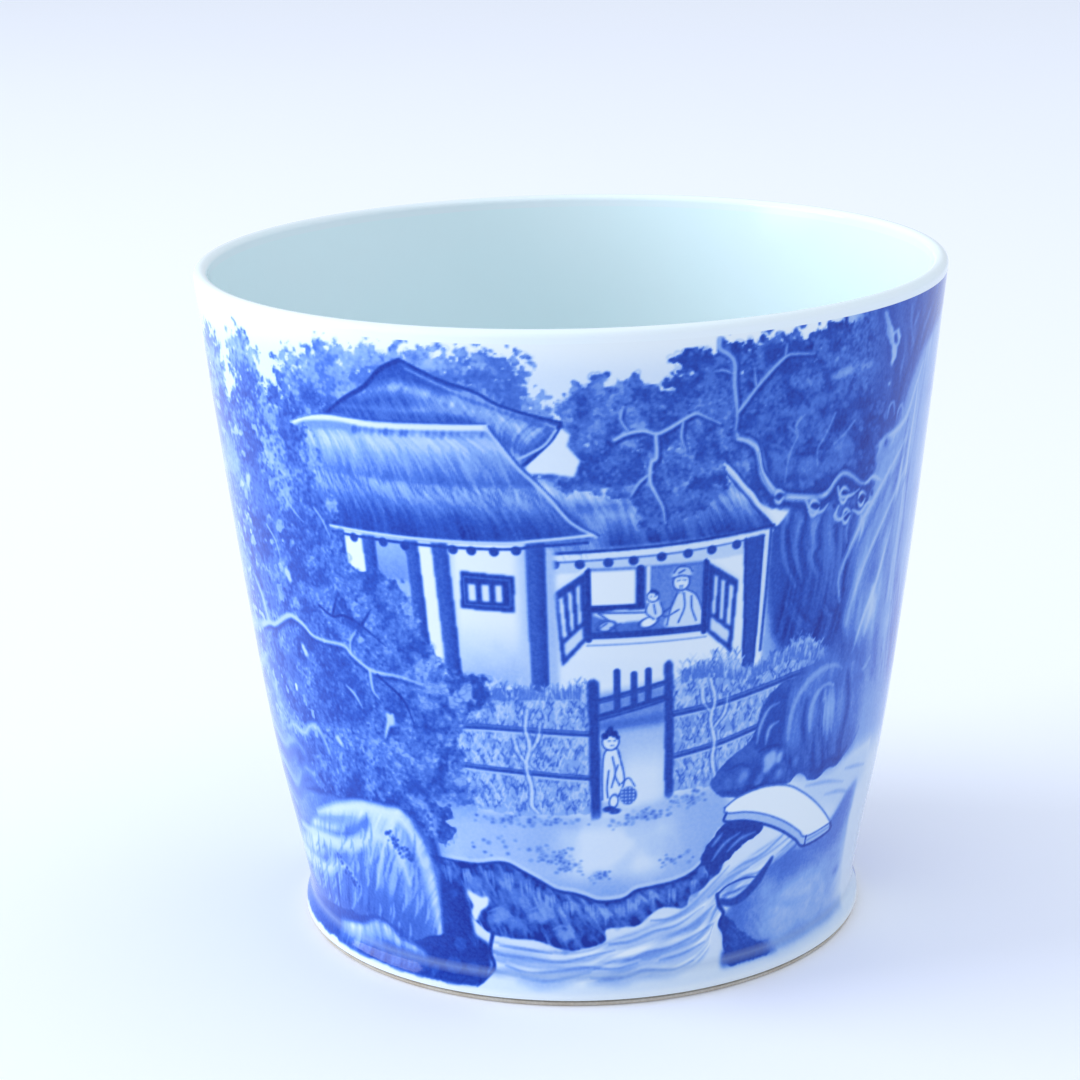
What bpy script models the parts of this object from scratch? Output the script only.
"""Flaring porcelain teacup without a handle, for Blender 4.5. Metres, +Z up.

The origin is the centre of the foot ring, on the table. One fired body carries four glaze coats:
the outside wall, the lip, the inside and the well under the foot. Every piece is a turned shape:
its profile, a closed line of (radius, height) points, is spun about the Z axis.
"""

import math

import bmesh
import bpy
import numpy as np

# Outside of the cup
RIM_RADIUS = 0.0425
HEIGHT = 0.0777
FOOT_RADIUS = 0.0330
GROOVE_HEIGHT = 0.0034
GROOVE_RADIUS = 0.0324
# Heights and radii that the outside of the wall passes through, from the groove to the lip
WALL_STATIONS = (
    (GROOVE_HEIGHT, GROOVE_RADIUS),
    (0.0080, 0.0331),
    (0.0200, 0.03545),
    (0.0400, 0.0383),
    (0.0600, 0.04067),
)

# Wall, floor and lip
LIP_THICKNESS = 0.0016
LOWER_WALL_THICKNESS = 0.0027
FLOOR_HEIGHT = 0.0060
FLOOR_CORNER_RADIUS = 0.0100

# Foot ring and the well inside it
FOOT_WIDTH = 0.0026
FOOT_EDGE_RADIUS = 0.0004
FOOT_BAND_HEIGHT = 0.0013
WELL_HEIGHT = 0.0030

# Glaze coats
GLAZE_THICKNESS = 0.0003
SEAT_GAP = 0.0002
COAT_DEPTH = GLAZE_THICKNESS + SEAT_GAP
GLAZE_LINE_HEIGHT = 0.0008
LIP_COAT_DROP = 0.0014

# Fineness of the turned shapes
SEGMENTS = 60
WALL_STEPS = 8
CORNER_STEPS = 6
LIP_STEPS = 5
EDGE_STEPS = 3
WELD_DISTANCE = 1e-7
SHARP_ANGLE = math.radians(50)

LIP_RADIUS = LIP_THICKNESS / 2
LIP_CENTRE = (RIM_RADIUS - LIP_RADIUS, HEIGHT - LIP_RADIUS)


def clear_scene():
    for obj in list(bpy.data.objects):
        bpy.data.objects.remove(obj, do_unlink=True)


def outer_radius(height):
    """Radius of the glazed outside at each height: a cubic through the stations, up to the lip's centre."""
    stations = np.array(WALL_STATIONS + ((HEIGHT - LIP_RADIUS, RIM_RADIUS),))
    slopes = np.gradient(stations[:, 1], stations[:, 0])
    slopes[0] = 0.0
    span = np.clip(np.searchsorted(stations[:, 0], height, side="right") - 1, 0, len(stations) - 2)
    low, high = stations[span], stations[span + 1]
    width = high[:, 0] - low[:, 0]
    t = (height - low[:, 0]) / width
    return (
        (2 * t**3 - 3 * t**2 + 1) * low[:, 1]
        + (t**3 - 2 * t**2 + t) * width * slopes[span]
        + (3 * t**2 - 2 * t**3) * high[:, 1]
        + (t**3 - t**2) * width * slopes[span + 1]
    )


def wall_thickness(height):
    """The wall thickens steadily from the lip down to the floor."""
    down = (HEIGHT - LIP_RADIUS - height) / (HEIGHT - LIP_RADIUS - FLOOR_HEIGHT)
    return LIP_THICKNESS + (LOWER_WALL_THICKNESS - LIP_THICKNESS) * down


def arc(centre, radius, start, end, steps):
    """Points of a circular arc; angles in degrees, 0 pointing outwards and 90 up."""
    angles = np.radians(np.linspace(start, end, steps))
    return np.column_stack([centre[0] + radius * np.cos(angles), centre[1] + radius * np.sin(angles)])


def outside(inset, low, high, steps=WALL_STEPS):
    """The outside wall between two heights, moved inwards by the inset."""
    height = np.linspace(low, high, steps)
    return np.column_stack([outer_radius(height) - inset, height])


def inside(inset, top):
    """The inside: from the floor's middle round the corner and up the wall, set back by the inset."""
    turn = np.radians(np.linspace(0, 90, CORNER_STEPS))
    corner_height = FLOOR_HEIGHT + FLOOR_CORNER_RADIUS * (1 - np.cos(turn))
    wall_height = np.linspace(FLOOR_HEIGHT + FLOOR_CORNER_RADIUS, top, WALL_STEPS)[1:]
    height = np.concatenate([corner_height, wall_height])
    radius = outer_radius(height) - wall_thickness(height)
    radius[:CORNER_STEPS] -= FLOOR_CORNER_RADIUS * (1 - np.sin(turn))
    curve = np.column_stack([radius, height])
    run = np.gradient(curve, axis=0)
    normal = np.column_stack([run[:, 1], -run[:, 0]])
    curve += inset * normal / np.linalg.norm(normal, axis=1)[:, None]
    return np.vstack([[0.0, FLOOR_HEIGHT - inset], curve])


def band_below_groove(inset, low):
    """The rounded band between the groove and a height above the foot, from the top down."""
    rise = np.linspace(GROOVE_HEIGHT, low, EDGE_STEPS + 2)[1:]
    share = np.clip((rise - FOOT_BAND_HEIGHT) / (GROOVE_HEIGHT - FOOT_BAND_HEIGHT), 0, 1)
    swell = np.cos(math.pi / 2 * share) ** 2
    return np.column_stack([GROOVE_RADIUS + (FOOT_RADIUS - GROOVE_RADIUS) * swell - inset, rise])


def foot_ring():
    """The bare foot, from its outer side round under the ring to the well inside it."""
    outer = FOOT_RADIUS - SEAT_GAP
    inner = FOOT_RADIUS - FOOT_WIDTH
    edge = FOOT_EDGE_RADIUS
    shoulder = GLAZE_LINE_HEIGHT - SEAT_GAP
    return np.vstack(
        [
            [outer - GLAZE_THICKNESS, shoulder],
            [outer, shoulder - SEAT_GAP / 2],
            arc((outer - edge, edge), edge, 0, -90, EDGE_STEPS),
            arc((inner + edge, edge), edge, -90, -180, EDGE_STEPS),
            [inner, WELL_HEIGHT],
            [0.0, WELL_HEIGHT],
        ]
    )


def body_profile():
    """The fired clay: up the inside, over the lip, down the outside and round the foot to the well."""
    lip = arc(LIP_CENTRE, LIP_RADIUS - COAT_DEPTH, 180, 0, LIP_STEPS)
    up = inside(COAT_DEPTH, HEIGHT - LIP_RADIUS)[:-1]
    down = outside(COAT_DEPTH, GROOVE_HEIGHT, HEIGHT - LIP_RADIUS)[::-1][1:]
    return np.vstack([up, lip, down, band_below_groove(COAT_DEPTH, GLAZE_LINE_HEIGHT), foot_ring()])


def outer_glaze_profile():
    top = HEIGHT - LIP_COAT_DROP
    face = np.vstack([outside(0, GROOVE_HEIGHT, top)[::-1], band_below_groove(0, GLAZE_LINE_HEIGHT)])
    back = face[::-1] - [GLAZE_THICKNESS, 0]
    return np.vstack([face, back])


def lip_glaze_profile():
    """A U that caps the lip, its legs as far down the wall as the outside and inside coats reach up."""
    low = HEIGHT - LIP_COAT_DROP + SEAT_GAP
    legs = np.linspace(low, HEIGHT - LIP_RADIUS, EDGE_STEPS)
    outer = outer_radius(legs)
    inner = outer - wall_thickness(legs)
    face = np.vstack(
        [
            np.column_stack([outer, legs])[:-1],
            arc(LIP_CENTRE, LIP_RADIUS, 0, 180, LIP_STEPS),
            np.column_stack([inner, legs])[::-1][1:],
        ]
    )
    back = np.vstack(
        [
            np.column_stack([inner + GLAZE_THICKNESS, legs])[:-1],
            arc(LIP_CENTRE, LIP_RADIUS - GLAZE_THICKNESS, 180, 0, LIP_STEPS),
            np.column_stack([outer - GLAZE_THICKNESS, legs])[::-1][1:],
        ]
    )
    return np.vstack([face, back])


def inner_glaze_profile():
    """The lining: along its face from the floor's middle to the lip coat, and back through the wall side."""
    top = HEIGHT - LIP_COAT_DROP
    return np.vstack([inside(0, top), inside(GLAZE_THICKNESS, top)[::-1]])


def base_glaze_profile():
    """The glaze in the well: a shallow disc with a rounded edge."""
    edge = GLAZE_THICKNESS / 2
    middle = WELL_HEIGHT - SEAT_GAP - edge
    rim = arc((FOOT_RADIUS - FOOT_WIDTH - SEAT_GAP - edge, middle), edge, 90, -90, EDGE_STEPS + 1)
    return np.vstack([[0.0, middle + edge], rim, [0.0, middle - edge]])


def spin_profile(name, profile, closed):
    """Turns a profile about Z into one closed body. One that starts and ends on the axis isn't looped."""
    mesh = bpy.data.meshes.new(name)
    shape = bmesh.new()
    points = [shape.verts.new((radius, 0.0, height)) for radius, height in profile]
    pairs = list(zip(points, points[1:]))
    if closed:
        pairs.append((points[-1], points[0]))
    edges = [shape.edges.new(pair) for pair in pairs]
    bmesh.ops.spin(
        shape,
        geom=points + edges,
        cent=(0, 0, 0),
        axis=(0, 0, 1),
        angle=math.tau,
        steps=SEGMENTS,
        use_merge=True,
    )
    bmesh.ops.remove_doubles(shape, verts=shape.verts, dist=WELD_DISTANCE)
    bmesh.ops.recalc_face_normals(shape, faces=shape.faces)
    shape.to_mesh(mesh)
    shape.free()
    mesh.shade_smooth()
    mesh.set_sharp_from_angle(angle=SHARP_ANGLE)
    obj = bpy.data.objects.new(name, mesh)
    bpy.context.scene.collection.objects.link(obj)
    return obj


def give_material(obj, colour, roughness):
    material = bpy.data.materials.new(obj.name)
    material.use_nodes = True
    surface = material.node_tree.nodes["Principled BSDF"]
    surface.inputs["Base Color"].default_value = (*colour, 1.0)
    surface.inputs["Roughness"].default_value = roughness
    surface.inputs["Metallic"].default_value = 0.0
    obj.data.materials.append(material)


def porcelain_body():
    give_material(spin_profile("porcelain_body", body_profile(), closed=False), (0.72, 0.70, 0.66), 0.7)


def outer_glaze():
    give_material(spin_profile("outer_glaze", outer_glaze_profile(), closed=True), (0.30, 0.45, 0.85), 0.08)


def lip_glaze():
    give_material(spin_profile("lip_glaze", lip_glaze_profile(), closed=True), (0.88, 0.92, 0.94), 0.08)


def inner_glaze():
    give_material(spin_profile("inner_glaze", inner_glaze_profile(), closed=False), (0.66, 0.80, 0.84), 0.10)


def base_glaze():
    give_material(spin_profile("base_glaze", base_glaze_profile(), closed=False), (0.80, 0.88, 0.90), 0.10)


def main():
    clear_scene()
    porcelain_body()
    outer_glaze()
    lip_glaze()
    inner_glaze()
    base_glaze()


main()
